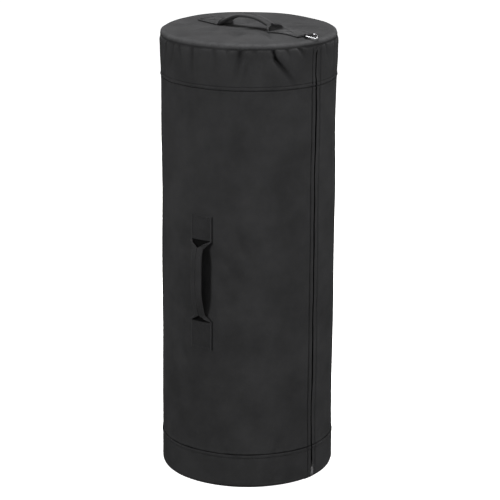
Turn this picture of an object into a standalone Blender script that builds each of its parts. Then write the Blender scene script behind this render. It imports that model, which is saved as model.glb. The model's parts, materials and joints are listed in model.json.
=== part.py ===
"""Rope storage bag: a tall canvas cylinder with a full-height side zipper.

Metres, +Z up. The bag stands on z = 0 with its axis on the Z axis, and the zipper faces -Y.
Azimuths are in degrees, from -Y towards +X.
"""

import math

import bmesh
import bpy
from mathutils import Matrix, Vector

# Driving sizes
RADIUS = 0.200  # outer face of the canvas wall
HEIGHT = 1.045  # top of the lid
CANVAS = 0.0025  # canvas with its seam allowance
GAP = 0.0003  # between pieces that touch
BASE_THICK = 0.003
FOOT_ROUND = 0.002  # rounding under the bottom band
SEGMENTS = 96  # flats round the bag

# Heights of the seams
LOWER_SEAM = 0.082
UPPER_SEAM = 0.934
RIM_SEAM = 1.0285
LID_CROWN = 0.090  # radius where the lid starts to slope
LID_DROP = 0.0045  # how much lower it is where it rounds over

# Zipper
SLIT_HALF = 0.0025
SLIT_BOTTOM, SLIT_TOP = 0.0265, 1.015
FLAP_ANGLE = 60.0  # azimuth of the vertical line each front panel folds about
TAPE_BOTTOM, TAPE_TOP = 0.020, 1.022
TEETH_DEPTH = 0.0059  # middle of the teeth, below the outer face
TEETH_THICK = 0.0031
TEETH_BOTTOM, TEETH_TOP = 0.038, 1.006
TOOTH_PITCH = 0.0070
SLIDER_BOTTOM, SLIDER_LENGTH = 0.0285, 0.016
SLIDER_HALF_WIDTH = 0.007
PLATE = 0.0012
PULL_PIVOT_Z = 0.0355
PULL_STANDOFF = 0.0022  # pull's pivot, out from the wall
PULL_LENGTH = 0.0295
PULL_HALF_WIDTH = 0.0045
PULL_THICK = 0.0015

# Handles: one strap each, with two sewn ends and a folded grip between them
STRAP_WIDTH = 0.054
STRAP_THICK = 0.0020
GRIP_HALF_WIDTH = 0.013
GRIP_HALF_THICK = 0.0025
TOP_ENDS = (-0.168, -0.084, 0.077, 0.134)  # Y of the front end patch, then of the back one
TOP_GRIP_RISE = 0.025
SIDE_AZIMUTH = -80.15
SIDE_ENDS = (0.3305, 0.393, 0.590, 0.6435)  # Z of the lower end patch, then of the upper one
SIDE_GRIP_RISE = 0.026

# Tie ring on the lid
RING_BAR = Vector((0.0, -0.178, 1.0456))
RING_HALF_WIDTH = 0.0139
RING_WIRE = 0.00175
RING_TILT = 12.0
TAB_HALF_WIDTH = 0.0115
TAB_THICK = 0.0012


def clear_scene():
    for item in list(bpy.data.objects):
        bpy.data.objects.remove(item, do_unlink=True)


def material(name, colour, roughness, metallic=0.0):
    made = bpy.data.materials.new(name)
    made.use_nodes = True
    shader = made.node_tree.nodes["Principled BSDF"]
    shader.inputs["Base Color"].default_value = (*colour, 1.0)
    shader.inputs["Roughness"].default_value = roughness
    shader.inputs["Metallic"].default_value = metallic
    made.diffuse_color = (*colour, 1.0)
    return made


def place(name, bm, colour, parent=None):
    """Turns a bmesh into a named object with one material."""
    bmesh.ops.recalc_face_normals(bm, faces=bm.faces)
    mesh = bpy.data.meshes.new(name)
    bm.to_mesh(mesh)
    bm.free()
    mesh.shade_smooth()
    mesh.set_sharp_from_angle(angle=math.radians(30))
    mesh.materials.append(colour)
    made = bpy.data.objects.new(name, mesh)
    bpy.context.scene.collection.objects.link(made)
    made.parent = parent
    return made


def pivot(name, location, rotation=None):
    """An empty on a joint's axis."""
    made = bpy.data.objects.new(name, None)
    bpy.context.scene.collection.objects.link(made)
    made.matrix_world = Matrix.Translation(location) @ (rotation or Matrix.Identity(4))
    return made


def hide_helper(item):
    item.hide_render = True
    item.display_type = "WIRE"
    return item


def boolean(target, helper, operation):
    step = target.modifiers.new(helper.name, "BOOLEAN")
    step.operation = operation
    step.object = hide_helper(helper)


def outward(azimuth):
    angle = math.radians(azimuth)
    return Vector((math.sin(angle), -math.cos(angle), 0.0))


def revolve(profile, start=0.0, end=360.0):
    """Turns a closed (radius, height) outline from one azimuth to another."""
    whole = end - start >= 360.0
    steps = max(1, math.ceil((end - start) / (360.0 / SEGMENTS)))
    bm = bmesh.new()
    rings = []
    for i in range(steps if whole else steps + 1):
        way = outward(start + (end - start) * i / steps)
        rings.append([bm.verts.new(way * r + Vector((0, 0, z))) for r, z in profile])
    count = len(profile)
    for i in range(steps):
        here, there = rings[i], rings[(i + 1) % len(rings)]
        for k in range(count):
            n = (k + 1) % count
            bm.faces.new((here[k], here[n], there[n], there[k]))
    if not whole:
        bm.faces.new(rings[0])
        bm.faces.new(rings[-1])
    return bm


def disc(radius, low, high):
    bm = bmesh.new()
    bmesh.ops.create_cone(
        bm, cap_ends=True, segments=SEGMENTS, radius1=radius, radius2=radius, depth=high - low
    )
    bmesh.ops.translate(bm, verts=bm.verts, vec=(0, 0, (low + high) / 2))
    return bm


def prism(outline, axis, low, high):
    """Extrudes a closed outline along X, Y or Z. The outline holds the other two, in that order."""
    bm = bmesh.new()
    others = [k for k in range(3) if k != axis]
    layers = []
    for level in (low, high):
        layer = []
        for point in outline:
            place_at = [0.0, 0.0, 0.0]
            place_at[axis] = level
            place_at[others[0]], place_at[others[1]] = point
            layer.append(bm.verts.new(place_at))
        layers.append(layer)
    count = len(outline)
    for k in range(count):
        n = (k + 1) % count
        bm.faces.new((layers[0][k], layers[0][n], layers[1][n], layers[1][k]))
    bm.faces.new(layers[0])
    bm.faces.new(layers[1])
    return bm


def block(x, y, z):
    return prism([(x[0], y[0]), (x[1], y[0]), (x[1], y[1]), (x[0], y[1])], 2, *z)


def ribbon(points, thickness):
    """The outline of a thin strip that follows a run of points."""
    path = [Vector(p) for p in points]
    left, right = [], []
    for i, here in enumerate(path):
        along = path[min(i + 1, len(path) - 1)] - path[max(i - 1, 0)]
        across = Vector((-along.y, along.x)).normalized() * thickness / 2
        left.append(here + across)
        right.append(here - across)
    return [tuple(p) for p in left + right[::-1]]


def arc(centre, radius, start, end, steps):
    turns = [math.radians(start + (end - start) * i / steps) for i in range(steps + 1)]
    return [(centre[0] + radius * math.cos(t), centre[1] + radius * math.sin(t)) for t in turns]


def loft(stations):
    """A four-sided bar through stations of (centre, side, up)."""
    bm = bmesh.new()
    rings = []
    for centre, side, up in stations:
        corners = (side + up, up - side, -side - up, side - up)
        rings.append([bm.verts.new(centre + corner) for corner in corners])
    for here, there in zip(rings, rings[1:]):
        for k in range(4):
            bm.faces.new((here[k], here[(k + 1) % 4], there[(k + 1) % 4], there[k]))
    bm.faces.new(rings[0])
    bm.faces.new(rings[-1])
    return bm


def make_shell(canvas, lining):
    """Base, bands, wall panels and lid, and the bound seams inside."""
    inner = RADIUS - CANVAS
    place("base_panel", disc(inner - GAP, 0.0, BASE_THICK), canvas)

    low = LOWER_SEAM - GAP
    foot = arc((RADIUS - FOOT_ROUND, FOOT_ROUND), FOOT_ROUND, 0, -90, 4)
    bottom = place("bottom_band", revolve([(RADIUS, low), *foot, (inner, 0.0), (inner, low)]), canvas)
    top = place("top_band", revolve(wall_profile(UPPER_SEAM + GAP, RIM_SEAM - GAP)), canvas)
    for band, ends in ((bottom, (SLIT_BOTTOM, 0.2)), (top, (0.8, SLIT_TOP))):
        slot = block((-SLIT_HALF, SLIT_HALF), (-RADIUS - 0.01, -RADIUS + 0.02), ends)
        boolean(band, place(f"{band.name}_slot", slot, canvas), "DIFFERENCE")

    panel = wall_profile(LOWER_SEAM, UPPER_SEAM)
    edge = math.degrees(SLIT_HALF / RADIUS)
    fold = FLAP_ANGLE - math.degrees(GAP / RADIUS)
    place("back_panel", revolve(panel, FLAP_ANGLE, 360 - FLAP_ANGLE), canvas)
    for side, turn in (("left", -1), ("right", 1)):
        hinge = pivot(f"{side}_fold", outward(FLAP_ANGLE * turn) * RADIUS)
        bm = revolve(panel, *sorted((edge * turn, fold * turn)))
        bmesh.ops.translate(bm, verts=bm.verts, vec=-hinge.matrix_world.translation)
        place(f"{side}_front_panel", bm, canvas, hinge)

    puff = HEIGHT - LID_DROP - RIM_SEAM - 0.002
    lid_edge = (RADIUS + 0.001 - puff, HEIGHT - LID_DROP - puff)
    slope = [(r, lid_top(r)) for r in (0.175, 0.158, 0.141, 0.124, 0.107, LID_CROWN)]
    over = arc(lid_edge, puff, 0, 90, 6) + slope
    under = [(r, z - CANVAS) for r, z in reversed(slope)] + arc(lid_edge, puff - CANVAS, 90, 0, 6)
    lid = [(lid_edge[0] + puff, RIM_SEAM), *over, (0.0005, HEIGHT), (0.0005, HEIGHT - CANVAS)]
    lid = revolve([*lid, *under, (lid_edge[0] + puff - CANVAS, RIM_SEAM)])
    rim = [v for v in lid.verts if v.co.xy.length < 0.001]
    bmesh.ops.pointmerge(lid, verts=[v for v in rim if v.co.z > HEIGHT - 0.001], merge_co=(0, 0, HEIGHT))
    below = [v for v in lid.verts if v.co.xy.length < 0.001 and v.co.z < HEIGHT - 0.001]
    bmesh.ops.pointmerge(lid, verts=below, merge_co=(0, 0, HEIGHT - CANVAS))
    place("lid_panel", lid, canvas)

    for name, seam, rise in (
        ("base_seam_binding", BASE_THICK + GAP, 0.008),
        ("bottom_band_binding", LOWER_SEAM - 0.013, 0.012),
        ("top_band_binding", UPPER_SEAM + 0.001, 0.012),
        ("lid_seam_binding", RIM_SEAM - 0.0092, 0.009),
    ):
        outer = inner - GAP
        profile = [(outer, seam), (outer, seam + rise), (outer - 0.002, seam + rise), (outer - 0.002, seam)]
        if seam < SLIT_BOTTOM:
            place(name, revolve(profile), lining)
        else:
            place(name, revolve(profile, 8.0, 352.0), lining)


def lid_top(radius):
    """Height of the lid's outer face at a distance from the middle."""
    share = max(0.0, (radius - LID_CROWN) / (RADIUS - 0.009 - LID_CROWN))
    return HEIGHT - LID_DROP * share**2


def wall_profile(low, high):
    return [(RADIUS, high), (RADIUS, low), (RADIUS - CANVAS, low), (RADIUS - CANVAS, high)]


def polar(outline):
    """Bends (distance along the wall, depth below its outer face) points round the bag."""
    bent = []
    for along, depth in outline:
        point = outward(math.degrees(along / RADIUS)) * (RADIUS - depth)
        bent.append((point.x, point.y))
    return bent


def make_zipper(tape_colour, teeth_colour, metal):
    for side, turn in (("left", -1), ("right", 1)):
        shift = pivot(f"{side}_zipper_fold", outward(FLAP_ANGLE * turn) * RADIUS)
        back = -shift.matrix_world.translation
        path = [(0.0037, TEETH_DEPTH), (0.0080, TEETH_DEPTH), (0.0105, 0.0046), (0.0130, 0.0033)]
        path = [(s * turn, d) for s, d in [*path, (0.0165, 0.0033), (0.0200, 0.0033)]]
        tape = prism(polar(ribbon(path, 0.0007)), 2, TAPE_BOTTOM, TAPE_TOP)
        bmesh.ops.translate(tape, verts=tape.verts, vec=back)
        place(f"{side}_zipper_tape", tape, tape_colour, shift)

        comb = [(0.0034 * turn, TEETH_TOP), (0.0034 * turn, TEETH_BOTTOM)]
        tooth = TOOTH_PITCH / 2 - 2 * GAP
        start = TEETH_BOTTOM + (0 if turn < 0 else TOOTH_PITCH / 2)
        for i in range(int((TEETH_TOP - start) / TOOTH_PITCH)):
            foot = start + i * TOOTH_PITCH
            comb += [(0.0021 * turn, foot), (-0.0015 * turn, foot + 2 * GAP)]
            comb += [(-0.0015 * turn, foot + tooth - 2 * GAP), (0.0021 * turn, foot + tooth)]
        comb.append((0.0021 * turn, TEETH_TOP))
        if turn > 0:
            comb.insert(2, (0.0021, TEETH_BOTTOM))
        face = -(RADIUS - TEETH_DEPTH)
        teeth = prism(comb, 1, face - TEETH_THICK / 2, face + TEETH_THICK / 2)
        bmesh.ops.translate(teeth, verts=teeth.verts, vec=back)
        place(f"{side}_zipper_teeth", teeth, teeth_colour, shift)

    for name, low in (("zipper_top_stop", TEETH_TOP + 0.001), ("zipper_bottom_stop", 0.0225)):
        stop = block((-0.0034, 0.0034), layer(TEETH_DEPTH, TEETH_THICK), (low, low + 0.005))
        place(name, stop, metal)
    make_slider(metal)


def layer(depth, thickness):
    """The Y range of a layer at some depth below the wall's outer face, in front of the bag."""
    face = -(RADIUS - depth)
    return (face - thickness / 2, face + thickness / 2)


def make_slider(metal):
    travel = pivot("slider_path", Vector((0, -RADIUS, SLIDER_BOTTOM)))
    inset = -travel.matrix_world.translation
    span = (SLIDER_BOTTOM, SLIDER_BOTTOM + SLIDER_LENGTH)
    width = (-SLIDER_HALF_WIDTH, SLIDER_HALF_WIDTH)
    reach = TEETH_THICK / 2 + GAP + PLATE / 2
    front = block(width, layer(TEETH_DEPTH - reach, PLATE), span)
    rear = block(width, layer(TEETH_DEPTH + reach, PLATE), span)
    neck = block((-0.0014, 0.0014), layer(TEETH_DEPTH, 2 * reach), (span[0] + 0.001, TEETH_BOTTOM - 0.001))
    foot, head = -(RADIUS - TEETH_DEPTH + reach), -(RADIUS + 0.0060)
    bar = -(RADIUS + 0.0045)
    low, high = PULL_PIVOT_Z - 0.0040, PULL_PIVOT_Z + 0.0040
    arch = [(foot, low), (head, low), (head, high), (foot, high)]
    arch += [(foot, high - 0.0015), (bar, high - 0.0015), (bar, low + 0.0015), (foot, low + 0.0015)]
    crown = prism(arch, 0, -0.0012, 0.0012)
    for bm in (front, rear, neck, crown):
        bmesh.ops.translate(bm, verts=bm.verts, vec=inset)
    slider = place("zipper_slider", front, metal, travel)
    for name, bm in (("slider_rear", rear), ("slider_neck", neck), ("slider_crown", crown)):
        boolean(slider, place(name, bm, metal, travel), "UNION")

    hang = pivot("pull_hinge", Vector((0, -(RADIUS + PULL_STANDOFF), PULL_PIVOT_Z)))
    half = PULL_THICK / 2
    shoulder, tip = -0.0062, -PULL_LENGTH
    outline = [(-PULL_HALF_WIDTH, half), (-PULL_HALF_WIDTH, tip + 0.003)]
    outline += [(-PULL_HALF_WIDTH + 0.003, tip), (PULL_HALF_WIDTH - 0.003, tip)]
    outline += [(PULL_HALF_WIDTH, tip + 0.003), (PULL_HALF_WIDTH, half)]
    pull = place("zipper_pull", prism(outline, 1, -half, half), metal, hang)
    eye = block((-0.0027, 0.0027), (-0.01, 0.01), (shoulder, -half))
    boolean(pull, place("pull_eye", eye, metal, hang), "DIFFERENCE")


def grip(name, hinge, length, rise, webbing):
    """A folded strap that stands as an arch over its hinge line, narrow where it leaves the surface."""
    steps = 24
    foot = 0.004
    centres = []
    for i in range(steps + 1):
        u = 2 * i / steps - 1
        centres.append(Vector((0, u * length / 2, foot + (rise - foot) * (1 - u**4))))
    stations = []
    for i, centre in enumerate(centres):
        along = centres[min(i + 1, steps)] - centres[max(i - 1, 0)]
        up = Vector((0, -along.z, along.y)).normalized() * GRIP_HALF_THICK
        if i in (0, steps):
            up = Vector((0, 0, GRIP_HALF_THICK))
        half = min(GRIP_HALF_WIDTH, 0.002 + 0.75 * (centre.z - foot))
        stations.append((centre, Vector((half, 0, 0)), up))
    place(name, loft(stations), webbing, hinge)


def make_top_handle(webbing):
    half = STRAP_WIDTH / 2
    low = HEIGHT + GAP
    for name, (start, end) in (("front", TOP_ENDS[:2]), ("back", TOP_ENDS[2:])):
        along = [start + (end - start) * i / 8 for i in range(9)]
        path = [(y, lid_top(abs(y)) + GAP + STRAP_THICK / 2) for y in along]
        patch = prism(ribbon(path, STRAP_THICK), 0, -half, half)
        place(f"top_handle_{name}_patch", patch, webbing)
    middle = Vector((0, (TOP_ENDS[1] + TOP_ENDS[2]) / 2, low + STRAP_THICK))
    length = TOP_ENDS[2] - TOP_ENDS[1] - 2 * GAP
    grip("top_handle_grip", pivot("top_handle_hinge", middle), length, TOP_GRIP_RISE, webbing)


def make_side_handle(webbing):
    low = RADIUS + 2 * GAP
    spread = math.degrees(STRAP_WIDTH / 2 / RADIUS)
    for name, z in (("lower", SIDE_ENDS[:2]), ("upper", SIDE_ENDS[2:])):
        profile = [(low + STRAP_THICK, z[1]), (low + STRAP_THICK, z[0]), (low, z[0]), (low, z[1])]
        patch = revolve(profile, SIDE_AZIMUTH - spread, SIDE_AZIMUTH + spread)
        place(f"side_handle_{name}_patch", patch, webbing)
    way = outward(SIDE_AZIMUTH)
    middle = way * (low + STRAP_THICK) + Vector((0, 0, (SIDE_ENDS[1] + SIDE_ENDS[2]) / 2))
    up = Vector((0, 0, 1))
    turn = Matrix((up.cross(way), up, way)).transposed().to_4x4()
    length = SIDE_ENDS[2] - SIDE_ENDS[1] - 2 * GAP
    grip("side_handle_grip", pivot("side_handle_hinge", middle, turn), length, SIDE_GRIP_RISE, webbing)


def make_ring(webbing, steel):
    loop = TAB_THICK / 2 + RING_WIRE + GAP
    inner_end = TOP_ENDS[0] - GAP
    bar = (RING_BAR.y, RING_BAR.z)
    path = [(y, lid_top(-y) + GAP + TAB_THICK / 2) for y in (inner_end, RING_BAR.y + 0.002)]
    inner_top = path[0][1] + TAB_THICK + GAP
    path += arc(bar, loop, -100, -260, 10)
    path += [(RING_BAR.y + 0.003, RING_BAR.z + loop * 0.75), (inner_end, inner_top)]
    place("ring_tab", prism(ribbon(path, TAB_THICK), 0, -TAB_HALF_WIDTH, TAB_HALF_WIDTH), webbing)

    hinge = pivot("ring_hinge", RING_BAR, Matrix.Rotation(math.radians(RING_TILT), 4, "X"))
    wide, bend, straight, bow = RING_HALF_WIDTH, 0.003, 0.006, 0.016
    outline = arc((wide - bend, -bend), bend, 90, 0, 4)
    outline += [(wide * math.cos(t), -straight - bow * math.sin(t)) for t in turns(0, 180, 16)]
    outline += arc((bend - wide, -bend), bend, 180, 90, 4)
    curve = bpy.data.curves.new("tie_ring", "CURVE")
    curve.dimensions = "3D"
    curve.bevel_depth = RING_WIRE
    curve.bevel_resolution = 3
    curve.use_fill_caps = True
    curve.materials.append(steel)
    spline = curve.splines.new("POLY")
    spline.points.add(len(outline) - 1)
    for point, (x, y) in zip(spline.points, outline):
        point.co = (x, y, 0, 1)
    spline.use_cyclic_u = True
    ring = bpy.data.objects.new("tie_ring", curve)
    bpy.context.scene.collection.objects.link(ring)
    ring.parent = hinge


def turns(start, end, steps):
    return [math.radians(start + (end - start) * i / steps) for i in range(steps + 1)]


def main():
    clear_scene()
    canvas = material("canvas", (0.030, 0.030, 0.032), 0.85)
    lining = material("binding_tape", (0.020, 0.020, 0.022), 0.9)
    webbing = material("webbing", (0.022, 0.022, 0.024), 0.75)
    tape_colour = material("zipper_tape", (0.015, 0.015, 0.016), 0.9)
    teeth_colour = material("zipper_teeth", (0.025, 0.025, 0.027), 0.45)
    metal = material("slider_metal", (0.30, 0.30, 0.31), 0.35, 1.0)
    steel = material("ring_steel", (0.62, 0.62, 0.63), 0.25, 1.0)
    make_shell(canvas, lining)
    make_zipper(tape_colour, teeth_colour, metal)
    make_top_handle(webbing)
    make_side_handle(webbing)
    make_ring(webbing, steel)


main()
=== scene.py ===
"""Looks of the rope storage bag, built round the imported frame. Metres, +Z up, zipper on -Y."""

import json
import math

import bmesh
import bpy
import numpy as np
from mathutils import Matrix, Vector


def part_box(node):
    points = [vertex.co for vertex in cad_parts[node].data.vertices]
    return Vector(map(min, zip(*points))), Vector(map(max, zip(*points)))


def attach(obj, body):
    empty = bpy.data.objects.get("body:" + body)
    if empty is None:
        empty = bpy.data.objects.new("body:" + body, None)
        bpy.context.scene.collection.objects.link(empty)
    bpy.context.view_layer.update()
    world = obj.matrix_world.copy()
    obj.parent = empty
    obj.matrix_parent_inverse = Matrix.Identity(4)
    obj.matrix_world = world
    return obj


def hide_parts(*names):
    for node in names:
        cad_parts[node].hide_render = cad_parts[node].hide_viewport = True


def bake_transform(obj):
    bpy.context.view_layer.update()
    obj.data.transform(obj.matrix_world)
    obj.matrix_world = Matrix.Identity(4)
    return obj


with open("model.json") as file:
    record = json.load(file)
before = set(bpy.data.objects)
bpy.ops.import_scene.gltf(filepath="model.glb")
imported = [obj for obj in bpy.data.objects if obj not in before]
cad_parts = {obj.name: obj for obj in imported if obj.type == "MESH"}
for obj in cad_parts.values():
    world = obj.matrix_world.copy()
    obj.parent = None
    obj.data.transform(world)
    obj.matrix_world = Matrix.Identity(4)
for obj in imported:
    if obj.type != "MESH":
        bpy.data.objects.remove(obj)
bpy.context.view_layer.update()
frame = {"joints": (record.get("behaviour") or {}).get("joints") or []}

# Sizes read from the frame
PANEL_LOW, PANEL_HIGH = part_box("back_panel")
RADIUS = PANEL_HIGH.x
LOWER_SEAM, UPPER_SEAM = PANEL_LOW.z, PANEL_HIGH.z
RIM_SEAM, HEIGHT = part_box("lid_panel")[0].z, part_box("lid_panel")[1].z
JOINTS = {joint["name"]: joint for joint in frame["joints"]}
HINGE_X, HINGE_Y = JOINTS["right_flap_fold"]["pos_m"][:2]
FOLD_ANGLE = math.atan2(HINGE_X, -HINGE_Y)
TEETH_LOW, TEETH_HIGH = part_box("left_zipper_teeth")
TAPE_LOW, TAPE_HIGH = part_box("left_zipper_tape")
SLIDER_LOW, SLIDER_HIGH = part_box("zipper_slider")
SLIT_BOTTOM, SLIT_TOP = 0.0265, 1.015
SLIT_MIDDLE = (SLIT_BOTTOM + SLIT_TOP) / 2

# Cloth and thread
CANVAS = 0.0011
WEBBING = 0.0021
THREAD = 0.00036
SLIT_HALF = 0.0021
LIP_RADIUS = 0.0014
HEM = 0.0145
FOOT_ROUND = 0.011
ROUND = 2 * math.pi * RADIUS
# The outer of two rows of stitches lies in a groove, this far from the slit or from a seam
HEM_GROOVE = 0.0135
BAND_GROOVE = 0.0088

SIDES = (("left", -1), ("right", 1))

# Angles from -Y: where the camera stands, and where the lid slopes most
CAMERA_TURN = math.radians(-48.5)
LID_LOW_TURN = math.radians(-48.5)


# ---------------------------------------------------------------- materials


class Nodes:
    """Short names for building one material. An input takes a number, a colour or another node's output."""

    def __init__(self, name, inputs):
        self.material = bpy.data.materials.new(name)
        self.material.use_nodes = True
        self.tree = self.material.node_tree
        self.finish(inputs)

    def finish(self, inputs):
        self.fill(self.tree.nodes["Principled BSDF"], inputs)
        return self.material

    def fill(self, node, inputs):
        for key, value in inputs.items():
            socket = node.inputs[key]
            if isinstance(value, bpy.types.NodeSocket):
                self.tree.links.new(value, socket)
            else:
                socket.default_value = (*value, 1.0) if socket.type == "RGBA" else value

    def add(self, kind, inputs, **settings):
        node = self.tree.nodes.new(kind)
        for key, value in settings.items():
            setattr(node, key, value)
        self.fill(node, inputs)
        return node.outputs

    def place(self):
        return self.add("ShaderNodeTexCoord", {})["Object"]

    def math(self, operation, *values):
        return self.add("ShaderNodeMath", dict(enumerate(values)), operation=operation)[0]

    def noise(self, where, scale, detail=3.0, roughness=0.55):
        inputs = {"Vector": where, "Scale": scale, "Detail": detail, "Roughness": roughness}
        return self.add("ShaderNodeTexNoise", inputs)["Fac"]

    def ramp(self, value, low, high, into_low=0.0, into_high=1.0):
        inputs = {"Value": value, "From Min": low, "From Max": high, "To Min": into_low, "To Max": into_high}
        return self.add("ShaderNodeMapRange", inputs)["Result"]

    def mix(self, factor, a, b):
        return self.add("ShaderNodeMix", {"Factor": factor, 6: a, 7: b}, data_type="RGBA")[2]

    def bump(self, height, distance, strength, after=None):
        inputs = {"Height": height, "Distance": distance, "Strength": strength}
        if after is not None:
            inputs["Normal"] = after
        return self.add("ShaderNodeBump", inputs)["Normal"]


def tint(colour, gain, lift=0.0):
    return tuple(c * gain + lift for c in colour)


def woven(name, colour, pitch, depth, roughness=0.92, sheen=0.018, rib=False, wear_gain=0.5):
    """Cloth with a weave in UV metres, mottled dye, loose fibres, paler worn edges, and painted shade in seams,
    creases and hollows.
    """
    inputs = {"Roughness": roughness, "Sheen Weight": sheen, "Sheen Roughness": 0.45, "Specular IOR Level": 0.0}
    n = Nodes(name, inputs)
    place = n.place()
    parts = n.add("ShaderNodeSeparateXYZ", {0: n.add("ShaderNodeUVMap", {}, uv_map="UVMap")["UV"]})
    turn = 2 * math.pi / pitch
    wobble = n.math("MULTIPLY", n.math("SUBTRACT", n.noise(place, 420.0, 2.0), 0.5), 1.1)
    across = n.math("SINE", n.math("ADD", n.math("MULTIPLY", parts[0], turn), wobble))
    along = n.math("SINE", n.math("ADD", n.math("MULTIPLY", parts[1], turn * (0.5 if rib else 1.0)), wobble))
    weave = n.math("MULTIPLY_ADD", n.math("MULTIPLY", across, along), 0.5, 0.5)
    height = n.math("ADD", weave, n.math("MULTIPLY", n.noise(place, 1500.0, 2.0, 0.7), 0.55))
    slub = n.bump(n.noise(place, 160.0, 3.0, 0.6), 0.0006, 0.35)

    light = tint(colour, 1.32)
    mottle = n.mix(n.ramp(n.noise(place, 13.0, 5.0, 0.6), 0.33, 0.68), tint(colour, 0.72), light)
    threads = n.mix(n.ramp(weave, 0.0, 0.6), tint(colour, 0.62), light)
    base = n.mix(n.ramp(height, 0.2, 1.3, 0.2, 0.75), threads, mottle)
    lint = n.ramp(n.noise(place, 900.0, 1.0), 0.74, 0.80, 0.0, 0.35)
    base = n.mix(lint, base, tint(colour, 5.5))
    # the mesh attribute holds pale wear where it is positive and painted shade where it is negative
    wear_and_shade = n.add("ShaderNodeAttribute", {}, attribute_name="wear_and_shade")["Fac"]
    worn_and_shaded = n.math("MULTIPLY", wear_and_shade, n.ramp(n.noise(place, 75.0, 4.0, 0.7), 0.35, 0.65, 0.35, 1.0))
    base = n.mix(n.math("MULTIPLY", worn_and_shaded, wear_gain), base, tint(colour, 3.0, 0.01))
    # painted shade: where the attribute is negative the cloth darkens towards a near-black copy of its colour
    base = n.mix(n.ramp(wear_and_shade, -1.0, 0.0, 1.0, 0.0), base, tint(colour, 0.12))
    return n.finish({"Base Color": base, "Normal": n.bump(height, depth, 0.9, slub)})


def thread_material(name, colour):
    n = Nodes(name, {"Roughness": 0.8, "Specular IOR Level": 0.2, "Sheen Weight": 0.05})
    place = n.place()
    bands = {"wave_type": "BANDS", "bands_direction": "DIAGONAL"}
    ply = n.add("ShaderNodeTexWave", {"Scale": 900.0, "Vector": place}, **bands)["Fac"]
    shade = n.mix(n.ramp(n.noise(place, 60.0, 2.0), 0.35, 0.65), tint(colour, 0.75), tint(colour, 1.3))
    return n.finish({"Base Color": shade, "Normal": n.bump(ply, 0.0002, 0.7)})


def metal(name, colour, roughness, grain, dents):
    """Metal with a fine brushed grain, small dents and dull patches."""
    n = Nodes(name, {"Metallic": 1.0})
    place = n.place()
    stretched = n.add("ShaderNodeMapping", {"Vector": place, "Scale": (1.0, 1.0, 0.15)})["Vector"]
    fine = n.noise(stretched, grain, 4.0, 0.7)
    dull = n.noise(place, 210.0, 4.0, 0.65)
    lumps = n.bump(n.noise(place, 520.0, 2.0), dents, 0.5)
    shade = n.mix(n.ramp(dull, 0.3, 0.7), tint(colour, 0.78), tint(colour, 1.12))
    rough = n.ramp(dull, 0.35, 0.7, roughness * 0.75, roughness * 1.45)
    return n.finish({"Base Color": shade, "Roughness": rough, "Normal": n.bump(fine, 0.00006, 0.5, lumps)})


def moulded(name, colour, roughness):
    n = Nodes(name, {})
    place = n.place()
    shade = n.mix(n.noise(place, 90.0, 2.0), tint(colour, 0.7), tint(colour, 1.5))
    rough = n.ramp(n.noise(place, 300.0, 3.0), 0.3, 0.7, roughness * 0.8, roughness * 1.3)
    grain = n.bump(n.noise(place, 2200.0, 2.0), 0.00008, 0.4)
    return n.finish({"Base Color": shade, "Roughness": rough, "Normal": grain})


CLOTH = woven("canvas", (0.0312, 0.0312, 0.0320), 0.0017, 0.00022)
LINING = woven("binding_tape", (0.020, 0.020, 0.022), 0.0010, 0.00016, rib=True)
STRAP = woven("webbing", (0.0280, 0.0280, 0.0288), 0.0019, 0.00035, 0.85, 0.08, rib=True, wear_gain=0.6)
TAPE = woven("zipper_tape", (0.009, 0.009, 0.0095), 0.0009, 0.00015, 0.85, rib=True)
STITCH = thread_material("thread", (0.0110, 0.0110, 0.0118))
TEETH = moulded("zipper_teeth", (0.012, 0.012, 0.013), 0.42)
DARK_METAL = metal("slider_metal", (0.028, 0.028, 0.029), 0.42, 3000.0, 0.00012)
PALE_METAL = metal("pull_metal", (0.052, 0.052, 0.053), 0.42, 3000.0, 0.00012)
RING_METAL = metal("ring_steel", (0.31, 0.31, 0.32), 0.20, 2600.0, 0.00006)


# ---------------------------------------------------------------- numbers and points


def step(value, low, high):
    t = np.clip((value - low) / (high - low), 0, 1)
    return t * t * (3 - 2 * t)


def bell(value, width):
    """1 where value is 0, fading to nothing over about twice the width."""
    return np.exp(-((value / width) ** 2))


def unit(vectors):
    return vectors / np.maximum(np.linalg.norm(vectors, axis=-1, keepdims=True), 1e-12)


def grid(*values):
    """The values, spread over one grid, side by side on the last axis."""
    return np.stack(np.broadcast_arrays(*values), -1)


def polar(radius, turn, z):
    """Points at a distance from the bag's axis and an angle from -Y."""
    return grid(radius * np.sin(turn), -radius * np.cos(turn), z)


def grid_normals(points):
    return unit(np.cross(np.gradient(points, axis=1), np.gradient(points, axis=0)))


def spokes(path, side, up, radius, sides):
    """A ring of points round each point of a path."""
    turn = np.arange(sides) * 2 * math.pi / sides
    ring = np.cos(turn)[:, None] * side[..., None, :] + np.sin(turn)[:, None] * up[..., None, :]
    return path[..., None, :] + ring * np.asarray(radius)[..., None, None]


def tube_rings(path, normals, radius, sides):
    along = unit(np.gradient(path, axis=0))
    side = unit(np.cross(along, normals))
    return spokes(path, side, np.cross(side, along), radius, sides)


# ---------------------------------------------------------------- mesh helpers


def link(name, data):
    made = bpy.data.objects.new(name, data)
    bpy.context.scene.collection.objects.link(made)
    return made


def dress(name, mesh, material, sharp=None):
    """An object for a mesh, smooth except at edges that turn by more than sharp degrees."""
    if sharp is not None:
        mesh.shade_smooth()
        mesh.set_sharp_from_angle(angle=math.radians(sharp))
    mesh.materials.clear()
    mesh.materials.append(material)
    return link(name, mesh)


def from_bmesh(name, bm, material, sharp=None):
    mesh = bpy.data.meshes.new(name)
    bm.to_mesh(mesh)
    bm.free()
    return dress(name, mesh, material, sharp)


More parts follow.
